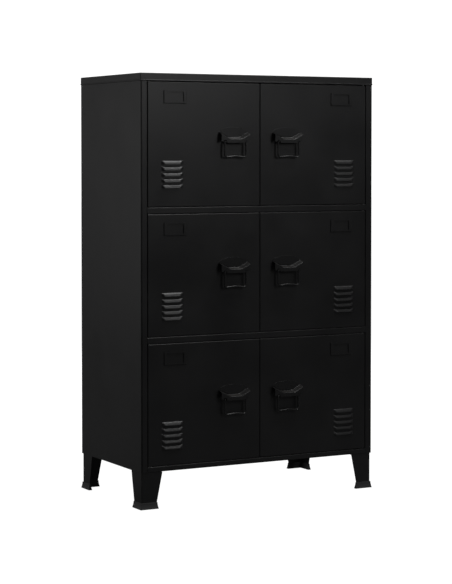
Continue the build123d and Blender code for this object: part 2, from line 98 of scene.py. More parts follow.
floor_mesh = bpy.data.meshes.new("floor")
half_floor = FLOOR_SIZE / 2
floor_mesh.from_pydata(
    [(x * half_floor, y * half_floor, 0) for x, y in ((-1, -1), (1, -1), (1, 1), (-1, 1))],
    [],
    [(0, 1, 2, 3)],
)
floor = bpy.data.objects.new("floor", floor_mesh)
bpy.context.scene.collection.objects.link(floor)
pale = bpy.data.materials.new("pale_floor")
pale.use_nodes = True
pale_shader = pale.node_tree.nodes["Principled BSDF"]
pale_shader.inputs["Base Color"].default_value = (FLOOR_ALBEDO, FLOOR_ALBEDO, FLOOR_ALBEDO, 1)
pale_shader.inputs["Roughness"].default_value = 0.9
pale_shader.inputs["Emission Color"].default_value = (1, 1, 1, 1)
pale.node_tree.links.new(
    seen_and_lit(pale.node_tree, FLOOR_SEEN, 0.0), pale_shader.inputs["Emission Strength"]
)
floor_side = pale.node_tree.nodes.new("ShaderNodeNewGeometry")
from_below = pale.node_tree.nodes.new("ShaderNodeBsdfTransparent")
one_sided = pale.node_tree.nodes.new("ShaderNodeMixShader")
pale.node_tree.links.new(floor_side.outputs["Backfacing"], one_sided.inputs["Fac"])
pale.node_tree.links.new(pale_shader.outputs["BSDF"], one_sided.inputs[1])
pale.node_tree.links.new(from_below.outputs["BSDF"], one_sided.inputs[2])
pale.node_tree.links.new(
    one_sided.outputs["Shader"], pale.node_tree.nodes["Material Output"].inputs["Surface"]
)
floor_mesh.materials.append(pale)

LIGHTS = {
    # name: (where it stands, what it points at, width, height, watts)
    "front_window": ((0.75, -2.8, 2.0), (-0.2, -0.2, 1.0), 0.9, 1.2, 11.0),
    "overhead": ((0.5, -1.2, 2.8), (-0.1, -0.2, 0.8), 0.8, 0.8, 9.5),
    "edge_strip": ((0.85, -0.7, 2.9), (-0.05, -0.2, 0.8), 1.4, 0.6, 12.0),
    "side_high": ((-2.0, -0.5, 2.9), (-0.3, 0.0, 1.0), 0.8, 0.8, 6.0),
    "side_tall": ((-2.3, 3.3, 1.15), (-0.37, 0.0, 0.7), 1.4, 2.1, 1.6),
    "side_low": ((-3.2, 1.6, 0.9), (-0.37, 0.0, 0.6), 1.6, 1.4, 10.0),
    "back_right": ((2.6, 2.8, 2.2), (0.2, 0.2, 0.7), 2.0, 2.0, 25.0),
    "back_middle": ((1.1, 3.6, 1.3), (0.9, 0.2, 0.7), 2.6, 1.8, 40.0),
    "right_side": ((3.2, 0.9, 1.6), (0.37, 0.1, 0.7), 1.6, 1.8, 24.0),
}
for name, (place, target, width, height, watts) in LIGHTS.items():
    lamp = bpy.data.lights.new(name, "AREA")
    lamp.shape = "RECTANGLE"
    lamp.size, lamp.size_y, lamp.energy = width, height, watts
    light = bpy.data.objects.new(name, lamp)
    light.location = place
    light.rotation_euler = (Vector(target) - Vector(place)).to_track_quat("-Z", "Y").to_euler()
    bpy.context.scene.collection.objects.link(light)


# Top panel: a lid folded from one sheet, with its corners welded and ground smooth, and a small
# bead rolled along the lower edge of its lip. A strip inside the front lip takes the hinge pins.
# It is powder-coated satin black, like every outside sheet.
SHEET = 0.8 * MM
BEND = 2.0 * MM
LID_BEAD = ((0, 4.6), (-0.4, 3.7), (-0.85, 2.5), (-0.95, 1.7), (-0.7, 0.7), (0.1, 0.1), (0.6, 0), (3, 0))


def peel_group():
    """Node group: the fine orange-peel relief of powder coat, and its slow uneven gloss."""
    group = bpy.data.node_groups.new("orange_peel", "ShaderNodeTree")
    for name, value in (("Grain per metre", 420.0), ("Cloud per metre", 7.0)):
        socket = group.interface.new_socket(name, in_out="INPUT", socket_type="NodeSocketFloat")
        socket.default_value = value
    for name in ("Height", "Cloud", "Speck"):
        group.interface.new_socket(name, in_out="OUTPUT", socket_type="NodeSocketFloat")
    nodes, links = group.nodes, group.links
    entry, leave = nodes.new("NodeGroupInput"), nodes.new("NodeGroupOutput")
    place = nodes.new("ShaderNodeTexCoord")

    def noise(scale_from, detail, times=1.0):
        texture = nodes.new("ShaderNodeTexNoise")
        texture.inputs["Detail"].default_value = detail
        scale = nodes.new("ShaderNodeMath")
        scale.operation = "MULTIPLY"
        scale.inputs[1].default_value = times
        links.new(scale_from, scale.inputs[0])
        links.new(scale.outputs[0], texture.inputs["Scale"])
        links.new(place.outputs["Object"], texture.inputs["Vector"])
        return texture.outputs["Fac"]

    coarse = noise(entry.outputs[0], 1.0)
    fine = noise(entry.outputs[0], 2.0, 3.3)
    relief = nodes.new("ShaderNodeMath")
    relief.operation = "MULTIPLY_ADD"
    relief.inputs[1].default_value = 0.35
    links.new(fine, relief.inputs[0])
    links.new(coarse, relief.inputs[2])
    links.new(relief.outputs[0], leave.inputs["Height"])
    links.new(noise(entry.outputs[1], 4.0), leave.inputs["Cloud"])
    links.new(noise(entry.outputs[0], 0.0, 5.5), leave.inputs["Speck"])
    return group


def dust_group():
    """Node group: where a little dust settles, which is on faces that look up."""
    group = bpy.data.node_groups.new("settled_dust", "ShaderNodeTree")
    socket = group.interface.new_socket("Amount", in_out="INPUT", socket_type="NodeSocketFloat")
    socket.default_value = 0.3
    group.interface.new_socket("Mask", in_out="OUTPUT", socket_type="NodeSocketFloat")
    nodes, links = group.nodes, group.links
    entry, leave = nodes.new("NodeGroupInput"), nodes.new("NodeGroupOutput")
    surface = nodes.new("ShaderNodeNewGeometry")
    parts = nodes.new("ShaderNodeSeparateXYZ")
    links.new(surface.outputs["Normal"], parts.inputs[0])
    upward = nodes.new("ShaderNodeMapRange")
    upward.inputs["From Min"].default_value = 0.75
    upward.inputs["From Max"].default_value = 1.0
    links.new(parts.outputs["Z"], upward.inputs["Value"])
    place = nodes.new("ShaderNodeTexCoord")
    patches = nodes.new("ShaderNodeTexNoise")
    patches.inputs["Scale"].default_value = 24.0
    patches.inputs["Detail"].default_value = 8.0
    links.new(place.outputs["Object"], patches.inputs["Vector"])
    gathered = nodes.new("ShaderNodeMath")
    gathered.operation = "MULTIPLY"
    links.new(upward.outputs[0], gathered.inputs[0])
    links.new(patches.outputs["Fac"], gathered.inputs[1])
    scaled = nodes.new("ShaderNodeMath")
    scaled.operation = "MULTIPLY"
    links.new(gathered.outputs[0], scaled.inputs[0])
    links.new(entry.outputs[0], scaled.inputs[1])
    links.new(scaled.outputs[0], leave.inputs["Mask"])
    return group


ORANGE_PEEL = peel_group()
SETTLED_DUST = dust_group()


def coat(name, dark, light, gloss, rough_spread, relief, grain=420.0, specular=0.5, metal=0.0):
    """A coated or moulded surface: two near tones, uneven gloss, fine relief and a little dust."""
    material = bpy.data.materials.new(name)
    material.use_nodes = True
    nodes, links = material.node_tree.nodes, material.node_tree.links
    shader = nodes["Principled BSDF"]
    shader.inputs["Specular IOR Level"].default_value = specular
    shader.inputs["Metallic"].default_value = metal
    peel = nodes.new("ShaderNodeGroup")
    peel.node_tree = ORANGE_PEEL
    peel.inputs["Grain per metre"].default_value = grain
    dust = nodes.new("ShaderNodeGroup")
    dust.node_tree = SETTLED_DUST
    tone = nodes.new("ShaderNodeMix")
    tone.data_type = "RGBA"
    tone.inputs["A"].default_value = (*dark, 1)
    tone.inputs["B"].default_value = (*light, 1)
    links.new(peel.outputs["Cloud"], tone.inputs["Factor"])
    dusted = nodes.new("ShaderNodeMix")
    dusted.data_type = "RGBA"
    dusted.inputs["B"].default_value = (0.16, 0.15, 0.14, 1)
    links.new(tone.outputs["Result"], dusted.inputs["A"])
    links.new(dust.outputs["Mask"], dusted.inputs["Factor"])
    links.new(dusted.outputs["Result"], shader.inputs["Base Color"])
    rough = nodes.new("ShaderNodeMapRange")
    rough.inputs["From Min"].default_value = 0.3
    rough.inputs["From Max"].default_value = 0.7
    rough.inputs["To Min"].default_value = gloss - rough_spread
    rough.inputs["To Max"].default_value = gloss + rough_spread
    links.new(peel.outputs["Cloud"], rough.inputs["Value"])
    rougher = nodes.new("ShaderNodeMath")
    rougher.operation = "MULTIPLY_ADD"
    rougher.use_clamp = True
    rougher.inputs[1].default_value = 0.4
    links.new(dust.outputs["Mask"], rougher.inputs[0])
    links.new(rough.outputs[0], rougher.inputs[2])
    links.new(rougher.outputs[0], shader.inputs["Roughness"])
    bump = nodes.new("ShaderNodeBump")
    bump.inputs["Strength"].default_value = 1.0
    bump.inputs["Distance"].default_value = relief
    links.new(peel.outputs["Height"], bump.inputs["Height"])
    links.new(bump.outputs["Normal"], shader.inputs["Normal"])
    return material


CARCASS_COAT = coat(
    "carcass_coat", (0.0075, 0.0075, 0.008), (0.012, 0.012, 0.0125), 0.36, 0.05, 0.025 * MM
)


def rounded(points, radius, steps=5):
    """An open path of corners, each turned into an arc. radius is one value or one per corner."""
    path = [Vector(points[0])]
    radii = [radius] * (len(points) - 2) if isinstance(radius, float) else radius
    for before, corner, after, radius in zip(points, points[1:], points[2:], radii):
        corner = Vector(corner)
        back = (Vector(before) - corner).normalized()
        ahead = (Vector(after) - corner).normalized()
        half = back.angle(ahead) / 2
        centre = corner + (back + ahead).normalized() * radius / math.sin(half)
        start = corner + back * radius / math.tan(half) - centre
        end = corner + ahead * radius / math.tan(half) - centre
        turn = start.angle(end)
        for k in range(steps + 1):
            first = math.sin(turn * (1 - k / steps)) / math.sin(turn)
            last = math.sin(turn * k / steps) / math.sin(turn)
            path.append(centre + start * first + end * last)
    path.append(Vector(points[-1]))
    return path


class Skin:
    """Gathers faces by their corners, so that what meets at a point shares one vertex."""

    def __init__(self):
        self.mesh = bmesh.new()
        self.known = {}

    def vertex(self, point):
        key = tuple(round(c * 1e7) for c in point)
        if key not in self.known:
            self.known[key] = self.mesh.verts.new(point)
        return self.known[key]

    def face(self, points):
        corners = list(dict.fromkeys(self.vertex(p) for p in points))
        if len(corners) > 2 and self.mesh.faces.get(corners) is None:
            self.mesh.faces.new(corners)

    def patch(self, rows):
        for a, b in zip(rows, rows[1:]):
            for k in range(len(a) - 1):
                self.face((a[k], a[k + 1], b[k + 1], b[k]))

    def object(self, name, outward=None):
        """The faces as an object. Its largest face looks the way that outward points."""
        bmesh.ops.recalc_face_normals(self.mesh, faces=self.mesh.faces)
        if outward is not None:
            largest = max(self.mesh.faces, key=lambda f: f.calc_area())
            if largest.normal.dot(Vector(outward)) < 0:
                bmesh.ops.reverse_faces(self.mesh, faces=self.mesh.faces)
        data = bpy.data.meshes.new(name)
        self.mesh.to_mesh(data)
        self.mesh.free()
        piece = bpy.data.objects.new(name, data)
        bpy.context.scene.collection.objects.link(piece)
        return piece


def settle(piece):
    """Turns a piece and its modifiers into one plain mesh."""
    graph = bpy.context.evaluated_depsgraph_get()
    data = bpy.data.meshes.new_from_object(piece.evaluated_get(graph))
    piece.modifiers.clear()
    piece.data = data
    return piece


def smooth(piece, sharp=math.radians(32)):
    """Smooth shading over bends, with flat faces kept flat and edges sharper than this kept crisp."""
    piece.data.shade_smooth()
    piece.data.set_sharp_from_angle(angle=sharp)
    weigh = piece.modifiers.new("weigh", "WEIGHTED_NORMAL")
    weigh.keep_sharp = True
    weigh.weight = 80
    return settle(piece)


def give_thickness(piece, sheet):
    """Thickens a skin inwards, away from its outer side."""
    wall = piece.modifiers.new("wall", "SOLIDIFY")
    wall.thickness = sheet
    wall.offset = -1
    wall.use_even_offset = True
    return settle(piece)


def joined(pieces, name):
    """Several plain meshes as one piece."""
    mesh = bmesh.new()
    for piece in pieces:
        mesh.from_mesh(piece.data)
    data = bpy.data.meshes.new(name)
    mesh.to_mesh(data)
    mesh.free()
    for piece in pieces:
        old = piece.data
        bpy.data.objects.remove(piece)
        bpy.data.meshes.remove(old)
    whole = bpy.data.objects.new(name, data)
    bpy.context.scene.collection.objects.link(whole)
    return whole


def fit(piece, material, slot, body, *nodes):
    """Gives a finished piece its material and its place in the assembly."""
    if piece.data.materials:
        piece.data.materials.clear()
    piece.data.materials.append(material)
    for polygon in piece.data.polygons:
        polygon.material_index = 0
    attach(piece, body)
    if nodes:
        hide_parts(*nodes)
    return piece


def block(name, low, high, bevel=0.0):
    """A solid between two corners, with its edges broken by a small bevel."""
    skin = Skin()
    x, y, z = zip(low, high)
    for axis in range(3):
        for end in (0, 1):
            corners = []
            for a, b in ((0, 0), (1, 0), (1, 1), (0, 1)):
                pick = [a, b]
                pick.insert(axis, end)
                corners.append((x[pick[0]], y[pick[1]], z[pick[2]]))
            skin.face(corners)
    piece = skin.object(name)
    if bevel:
        rim = piece.modifiers.new("rim", "BEVEL")
        rim.width, rim.segments = bevel, 2
        settle(piece)
    return piece


def loops(skin, low, high, across, up, profile, place, corner):
    """Closed rings round a rectangle, one for each (inset, depth) of the profile, as a patch.

    across and up are the stations along the straight edges, and place turns (u, v, depth) into
    a point. Corners are rounded by the given radius at the outside and less further in.
    """
    rows = []
    for inset, depth in profile:
        radius = max(corner - inset, 0)
        keep = max(corner, inset)
        row = []
        sides = (
            ([(u, low[1] + inset) for u in across], (high[0] - keep, low[1] + keep), -90),
            ([(high[0] - inset, v) for v in up], (high[0] - keep, high[1] - keep), 0),
            ([(u, high[1] - inset) for u in across[::-1]], (low[0] + keep, high[1] - keep), 90),
            ([(low[0] + inset, v) for v in up[::-1]], (low[0] + keep, low[1] + keep), 180),
        )
        for stations, (centre_u, centre_v), start in sides:
            for u, v in stations:
                row.append(
                    place(
                        min(max(u, low[0] + inset), high[0] - inset),
                        min(max(v, low[1] + inset), high[1] - inset),
                        depth,
                    )
                )
            for k in range(1, 4):
                turn = math.radians(start + 30 * k)
                row.append(
                    place(
                        centre_u + radius * math.cos(turn), centre_v + radius * math.sin(turn), depth
                    )
                )
        row.append(row[0])
        rows.append(row)
    skin.patch(rows)
    return rows


def bend_profile(radius, steps=5):
    """(inset, depth) round a bend, from a flat face to the side that it is folded into."""
    return [
        (
            radius * (1 - math.sin(math.pi / 2 * k / steps)),
            radius * (1 - math.cos(math.pi / 2 * k / steps)),
        )
        for k in range(steps + 1)
    ]


skin = Skin()
lid_depth = lid_high.z - lid_low.z
lid_profile = bend_profile(BEND) + [(i * MM, lid_depth - d * MM) for i, d in LID_BEAD]
loops(
    skin,
    (lid_low.x, lid_low.y),
    (lid_high.x, lid_high.y),
    [lid_low.x + BEND, lid_high.x - BEND],
    [lid_low.y + BEND, lid_high.y - BEND],
    lid_profile,
    lambda u, v, depth: (u, v, lid_high.z - depth),
    BEND,
)
skin.face(
    [
        (lid_low.x + BEND, lid_low.y + BEND, lid_high.z),
        (lid_high.x - BEND, lid_low.y + BEND, lid_high.z),
        (lid_high.x - BEND, lid_high.y - BEND, lid_high.z),
        (lid_low.x + BEND, lid_high.y - BEND, lid_high.z),
    ]
)
lid_shell = give_thickness(skin.object("lid_shell", (0, 0, 1)), SHEET)
side_low, side_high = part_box("left_side_panel")
seat_half = -side_low.x - 20.2 * MM
seat = block(
    "hinge_seat",
    (-seat_half, lid_low.y + 3 * MM, lid_low.z),
    (seat_half, side_low.y + 18 * MM, lid_low.z + SHEET),
    0.2 * MM,
)
lid = smooth(joined([lid_shell, seat], "top_panel_lid"))
fit(lid, CARCASS_COAT, "carcass_paint", "carcass", "top_panel")


# Side panels: each is one sheet that is folded round the front corner to make the stile, back
# into the cabinet and round again for the door stop, with a flange at the rear for the back panel.
STILE = 20.0 * MM
STOP = 10.0 * MM
# The seam beside the front corner: (in from the side, behind the front), and its corners' radius
SEAM = ((1.5, 0.0), (1.9, 2.2), (3.7, 2.2), (4.1, 0.0))
SEAM_BEND = 0.2 * MM
REAR_BEND = 2.4 * MM
FRONT_BEND = 1.0 * MM
STILE_BEND = 1.6 * MM
STOP_BEND = 1.0 * MM


def folded(name, path, stations, place, outward, sheet=SHEET):
    """A sheet folded along a path and as long as its stations, with thickness inwards."""
    skin = Skin()
    skin.patch([[place(u, v, w) for w in stations] for u, v in path])
    return give_thickness(skin.object(name, outward), sheet)


for side, sign in SIDES.items():
    out_x = -side_low.x
    stile_x = out_x - STILE
    stop_y = side_low.y + STILE - SHEET
    path = rounded(
        [(stile_x, side_high.y), (out_x, side_high.y), (out_x, side_low.y)]
        + [(out_x - across * MM, side_low.y + deep * MM) for across, deep in SEAM]
        + [(stile_x, side_low.y), (stile_x, stop_y), (stile_x - STOP, stop_y)],
        [REAR_BEND, FRONT_BEND] + [SEAM_BEND] * len(SEAM) + [STILE_BEND, STOP_BEND],
    )
    panel = folded(
        f"{side}_side_shell",
        [(sign * u, v) for u, v in path],
        [side_low.z, side_high.z],
        lambda u, v, w: (u, v, w),
        (sign, 0, 0),
    )
    panel = smooth(panel)
    panel.name = f"{side}_side_sheet"
    fit(panel, CARCASS_COAT, "carcass_paint", "carcass", f"{side}_side_panel")


# Back panel: a flat sheet behind the side panels' rear flanges, stiffened by two shallow upright
# ribs that are pressed inwards, and held by screws.
RIB_HALF_WIDTH = 14.0 * MM
RIB_DEPTH = 1.6 * MM

back_low, back_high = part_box("back_panel")
rib_x = back_high.x / 2.4
rib_end = 60.0 * MM


def rib_relief(u, v):
    """How far the back panel is pressed in at a place: a soft-edged rib with rounded ends."""
    end_gap = max(abs(v - (back_low.z + back_high.z) / 2) - (back_high.z - back_low.z) / 2 + rib_end, 0)
    aside = math.hypot(abs(abs(u) - rib_x), end_gap)
    rise = min(max((RIB_HALF_WIDTH - aside) / (RIB_HALF_WIDTH * 0.7), 0), 1)
    return RIB_DEPTH * rise * rise * (3 - 2 * rise)


spread = [k / 8 * RIB_HALF_WIDTH for k in range(-8, 9)]
back_x = [back_low.x] + [s * rib_x + d for s in (-1, 1) for d in spread] + [back_high.x]
back_tip = [d for d in spread if d <= 0]
low_end, high_end = back_low.z + rib_end, back_high.z - rib_end
back_z = [back_low.z] + [low_end + d for d in back_tip] + [high_end - d for d in back_tip[::-1]]
skin = Skin()
skin.patch(
    [[(u, back_high.y - rib_relief(u, v), v) for u in back_x] for v in back_z + [back_high.z]]
)
back = smooth(give_thickness(skin.object("back_shell", (0, 1, 0)), SHEET))
back.name = "back_sheet"
fit(back, CARCASS_COAT, "carcass_paint", "carcass", "back_panel")


# Shelves and bottom panel: trays folded from one sheet. The front is a box-section rail that shows
# between the door rows, the back and the sides are turned down, and the front corners are cut out
# for the side panels' door stops. The bottom panel's side flanges turn in again for the leg bolts.
TRAY_BEND = 1.6 * MM
RAIL_RETURN = 18.0 * MM
STOP_CUT = 10.2 * MM
TRAY_FLANGE = 70.0 * MM


def tray(name, node, flange):
    """A tray that fills a node's box, folded inwards from its upper side."""
    low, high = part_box(node)
    rail_half = out_x - STILE - 0.2 * MM
    cut_half = rail_half - STOP_CUT + 0.2 * MM
    front, cut_y = low.y, side_low.y + STILE + 0.2 * MM
    stop_front = cut_y - 1.2 * MM
    skin = Skin()
    nose = rounded(
        [(front + RAIL_RETURN, low.z), (front, low.z), (front, high.z), (stop_front, high.z)], TRAY_BEND
    )
    spans = [-rail_half, -cut_half, cut_half, rail_half]
    skin.patch([[(u, y, z) for u in spans] for y, z in nose])
    skin.patch([[(u, y, high.z) for u in spans[1:3]] for y in (stop_front, cut_y)])
    fold = rounded(
        [(0, high.z), (high.x, high.z), (high.x, low.z)]
        + ([(high.x - flange, low.z)] if flange else []),
        TRAY_BEND,
    )[1:]
    back_y = high.y - TRAY_BEND
    for sign in (-1, 1):
        skin.patch([[(sign * u, y, z) for u, z in fold] for y in (cut_y, back_y)])
    level = [-fold[0][0], -rail_half, -cut_half, cut_half, rail_half, fold[0][0]]
    skin.patch([[(u, y, high.z) for u in level] for y in (cut_y, back_y)])
    turn = rounded([(cut_y, high.z), (high.y, high.z), (high.y, low.z)], TRAY_BEND)[1:]
    skin.patch([[(u, y, z) for u in level] for y, z in turn])
    return smooth(give_thickness(skin.object(name, (0, 0, 1)), SHEET))


for node in ("upper_shelf", "lower_shelf"):
    shelf = tray(f"{node}_tray", node, 0)
    fit(shelf, CARCASS_COAT, "carcass_paint", "carcass", node)
base = tray("bottom_tray", "bottom_panel", TRAY_FLANGE)
fit(base, CARCASS_COAT, "carcass_paint", "carcass", "bottom_panel")


# Back panel screws: pan-headed, zinc-plated, with a cross recess, put in from behind.
SCREW_HEAD_RADIUS = 4.0 * MM
SCREW_HEAD_HEIGHT = 2.2 * MM
SCREW_SHANK_RADIUS = 1.95 * MM
SCREW_ROWS = 5

ZINC = coat(
    "zinc_plate", (0.42, 0.42, 0.43), (0.62, 0.62, 0.63), 0.36, 0.1, 0.01 * MM, grain=900, metal=1.0
)


def turned(name, outline, around=20, recess=None):
    """A turned part: an outline of (radius, height) points, spun about Z and closed at both ends."""
    skin = Skin()
    rows = []
    for radius, height in outline:
        rows.append(
            [
                (radius * math.cos(a), radius * math.sin(a), height)
                for a in (2 * math.pi * k / around for k in range(around + 1))
            ]
        )
    skin.patch(rows)
    piece = skin.object(name)
    if recess:
        width, reach, depth, top = recess
        cutters = []
        for turn in (0, math.pi / 2):
            cutter = block(
                "cross", (-reach, -width, top - depth), (reach, width, top + 2 * MM)
            )
            cutter.data.transform(Matrix.Rotation(turn, 4, "Z"))
            cut = piece.modifiers.new("cut", "BOOLEAN")
            cut.operation, cut.object, cut.solver = "DIFFERENCE", cutter, "EXACT"
            cutters.append(cutter)
        settle(piece)
        for cutter in cutters:
            bpy.data.objects.remove(cutter)
    return piece


def placing_tree():
    """Node tree: copies of a part on every point, all turned the same way, as one real mesh."""
    tree = bpy.data.node_groups.new("place_parts", "GeometryNodeTree")
    tree.interface.new_socket("Points", in_out="INPUT", socket_type="NodeSocketGeometry")
    tree.interface.new_socket("Part", in_out="INPUT", socket_type="NodeSocketObject")
    tree.interface.new_socket("Turn", in_out="INPUT", socket_type="NodeSocketVector")
    tree.interface.new_socket("Turn spread", in_out="INPUT", socket_type="NodeSocketFloat")
    tree.interface.new_socket("Finish", in_out="INPUT", socket_type="NodeSocketMaterial")
    tree.interface.new_socket("Parts", in_out="OUTPUT", socket_type="NodeSocketGeometry")
    nodes, links = tree.nodes, tree.links
    entry, leave = nodes.new("NodeGroupInput"), nodes.new("NodeGroupOutput")
    part = nodes.new("GeometryNodeObjectInfo")
    spread = nodes.new("FunctionNodeRandomValue")
    spread.data_type = "FLOAT"
    spread.inputs["Seed"].default_value = 7
    down = nodes.new("ShaderNodeMath")
    down.operation = "MULTIPLY"
    down.inputs[1].default_value = -1.0
    spin = nodes.new("ShaderNodeCombineXYZ")
    local = nodes.new("FunctionNodeEulerToRotation")
    outer = nodes.new("FunctionNodeEulerToRotation")
    turn = nodes.new("FunctionNodeRotateRotation")
    turn.rotation_space = "LOCAL"
    place = nodes.new("GeometryNodeInstanceOnPoints")
    real = nodes.new("GeometryNodeRealizeInstances")
    finish = nodes.new("GeometryNodeSetMaterial")
    links.new(entry.outputs["Points"], place.inputs["Points"])
    links.new(entry.outputs["Part"], part.inputs["Object"])
    links.new(part.outputs["Geometry"], place.inputs["Instance"])
    links.new(entry.outputs["Turn spread"], down.inputs[0])
    links.new(down.outputs[0], spread.inputs[2])
    links.new(entry.outputs["Turn spread"], spread.inputs[3])
    links.new(spread.outputs[1], spin.inputs["Z"])
    links.new(spin.outputs[0], local.inputs[0])
    links.new(entry.outputs["Turn"], outer.inputs[0])
    links.new(outer.outputs[0], turn.inputs["Rotation"])
    links.new(local.outputs[0], turn.inputs["Rotate By"])
    links.new(turn.outputs[0], place.inputs["Rotation"])
    links.new(place.outputs[0], real.inputs[0])
    links.new(real.outputs[0], finish.inputs["Geometry"])
    links.new(entry.outputs["Finish"], finish.inputs["Material"])
    links.new(finish.outputs[0], leave.inputs["Parts"])
    return tree


PLACE_PARTS = placing_tree()


def placed(name, part, points, turn, spread, material, sharp=32):
    """Copies of a part at points, as one plain mesh. The part itself is used up."""
    data = bpy.data.meshes.new(name)
    data.from_pydata(points, [], [])
    piece = bpy.data.objects.new(name, data)
    bpy.context.scene.collection.objects.link(piece)
    modifier = piece.modifiers.new("place", "NODES")
    modifier.node_group = PLACE_PARTS
    sockets = {
        item.name: item.identifier
        for item in PLACE_PARTS.interface.items_tree
        if item.in_out == "INPUT"
    }
    modifier[sockets["Part"]] = part
    modifier[sockets["Turn"]] = turn
    modifier[sockets["Turn spread"]] = spread
    modifier[sockets["Finish"]] = material
    settle(piece)
    bpy.data.objects.remove(part)
    return smooth(piece, math.radians(sharp))


screw = turned(
    "screw",
    [
        (0, -5.7 * MM),
        (SCREW_SHANK_RADIUS * 0.4, -5.7 * MM),
        (SCREW_SHANK_RADIUS, -4.4 * MM),
        (SCREW_SHANK_RADIUS, 0),
        (SCREW_HEAD_RADIUS, 0),
        (SCREW_HEAD_RADIUS, SCREW_HEAD_HEIGHT * 0.35),
        (SCREW_HEAD_RADIUS * 0.93, SCREW_HEAD_HEIGHT * 0.72),
        (SCREW_HEAD_RADIUS * 0.72, SCREW_HEAD_HEIGHT * 0.94),
        (SCREW_HEAD_RADIUS * 0.35, SCREW_HEAD_HEIGHT),
        (0, SCREW_HEAD_HEIGHT),
    ],
    recess=(0.55 * MM, 2.2 * MM, 1.2 * MM, SCREW_HEAD_HEIGHT),
)
screw_low, screw_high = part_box("back_panel_screws")
screw_x = screw_high.x - SCREW_HEAD_RADIUS
screw_span = screw_high.z - screw_low.z - 2 * SCREW_HEAD_RADIUS
screws = placed(
    "back_screw_set",
    screw,
    [
        (sign * screw_x, back_high.y, screw_low.z + SCREW_HEAD_RADIUS + screw_span * k / (SCREW_ROWS - 1))
        for k in range(SCREW_ROWS)
        for sign in (-1, 1)
    ],
    (-math.pi / 2, 0, 0),
    0.7,
    ZINC,
)
fit(screws, ZINC, "zinc_steel", "carcass", "back_panel_screws")


# Legs: angles of 2 mm sheet that taper to the floor, bent to a soft corner, each with a plate
# welded across its top. They are powder-coated with the carcass.
LEG_SHEET = 2.0 * MM
LEG_BEND = 3.6 * MM
LEG_FOOT = 47.0 * MM
LEG_FOOT_TOP = 18.0 * MM
LEG_PLATE_NOTCH = 20.0 * MM


def rounded_loop(points, radius, steps=3):
    """A closed path of corners, each one turned into an arc, as a list of points."""
    around = [points[-1]] + list(points) + [points[0]]
    return rounded(around, radius, steps)[1:-1]


def corner_places():
    """(name, X and Y of the outer corner, directions of the arms) of each leg."""
    for end, behind in (("front", 1), ("rear", -1)):
        for side, sign in SIDES.items():
            node = f"{end}_{side}_leg"
            low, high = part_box(node)
            corner = (low.x if sign < 0 else high.x, low.y if behind > 0 else high.y)
            yield end, side, node, corner, (-sign, behind), low, high


for end, side, node, corner, (toward_x, toward_y), low, high in corner_places():
    plate_z = high.z - LEG_SHEET
    top_width = high.x - low.x
    skin = Skin()
    rows = []
    for width, z in ((LEG_FOOT, low.z), (LEG_FOOT, LEG_FOOT_TOP), (top_width, plate_z)):
        path = rounded([(width, 0), (0, 0), (0, width)], LEG_BEND, 6)
        rows.append([(corner[0] + toward_x * u, corner[1] + toward_y * v, z) for u, v in path])
    skin.patch(rows)
    angle = skin.object("angle")
    largest = max(angle.data.polygons, key=lambda p: p.area)
    inside = Vector((corner[0] + toward_x * 0.03, corner[1] + toward_y * 0.03, largest.center.z))
    if largest.normal.dot(largest.center - inside) < 0:
        angle.data.flip_normals()
    angle = give_thickness(angle, LEG_SHEET)
    plate = Skin()
    outline = [
        (0, 0),
        (top_width, 0),
        (top_width, LEG_PLATE_NOTCH),
        (LEG_PLATE_NOTCH, top_width),
        (0, top_width),
    ]
    outline = rounded_loop(outline, 2.0 * MM)
    for z in (plate_z, high.z):
        plate.face([(corner[0] + toward_x * u, corner[1] + toward_y * v, z) for u, v in outline])
    plate.patch(
        [
            [(corner[0] + toward_x * u, corner[1] + toward_y * v, z) for u, v in outline + outline[:1]]
            for z in (plate_z, high.z)
        ]
    )
    leg = smooth(joined([angle, plate.object("plate")], f"{node}_angle"))
    fit(leg, CARCASS_COAT, "carcass_paint", "carcass", node)


# Shoes: moulded polyethylene, a little lighter than the paint, pushed on to the legs' feet. They
# flare towards the floor in a shallow curve and have softened edges.
SHOE_RIM = 1.6 * MM
SHOE_FLARE = 4.5 * MM
SHOE_WELL = 4.0 * MM

SHOE_PLASTIC = coat(
    "shoe_plastic", (0.03, 0.03, 0.031), (0.042, 0.042, 0.043), 0.55, 0.05, 0.03 * MM, grain=1400
)

for end, side, node, corner, (toward_x, toward_y), low, high in corner_places():
    shoe_node = f"{end}_{side}_shoe"
    shoe_low, shoe_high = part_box(shoe_node)
    height = shoe_high.z

    def foot_loop(out, z, radius):
        """The leg's angle, grown outwards on every side, as a closed loop at one height."""
        tip, inner = LEG_FOOT + out, LEG_SHEET + out
        corners = [(-out, -out), (tip, -out), (tip, inner), (inner, inner), (inner, tip), (-out, tip)]
        loop = rounded_loop(corners, radius) if radius else [Vector(c) for c in corners for _ in range(4)]
        return [
            (corner[0] + toward_x * u, corner[1] + toward_y * v, z) for u, v in loop + loop[:1]
        ]

    sections = [(SHOE_FLARE - 0.5 * MM, 0, 1.2 * MM), (SHOE_FLARE, 0.6 * MM, 1.4 * MM)]
    for k in range(1, 7):
        rise = k / 6
        out = SHOE_RIM + (SHOE_FLARE - SHOE_RIM) * (1 - rise) ** 1.7
        sections.append((out, 0.6 * MM + (height - 1.2 * MM) * rise, 1.2 * MM))
    sections += [(SHOE_RIM - 0.4 * MM, height, 0.9 * MM), (0, height, 0), (0, SHOE_WELL, 0)]
    skin = Skin()
    skin.patch([foot_loop(*section) for section in sections])
    skin.face(foot_loop(*sections[0])[:-1])
    skin.face(foot_loop(*sections[-1])[:-1])
    shoe = smooth(skin.object(f"{shoe_node}_moulding"))
    fit(shoe, SHOE_PLASTIC, "shoe_plastic", "carcass", shoe_node)


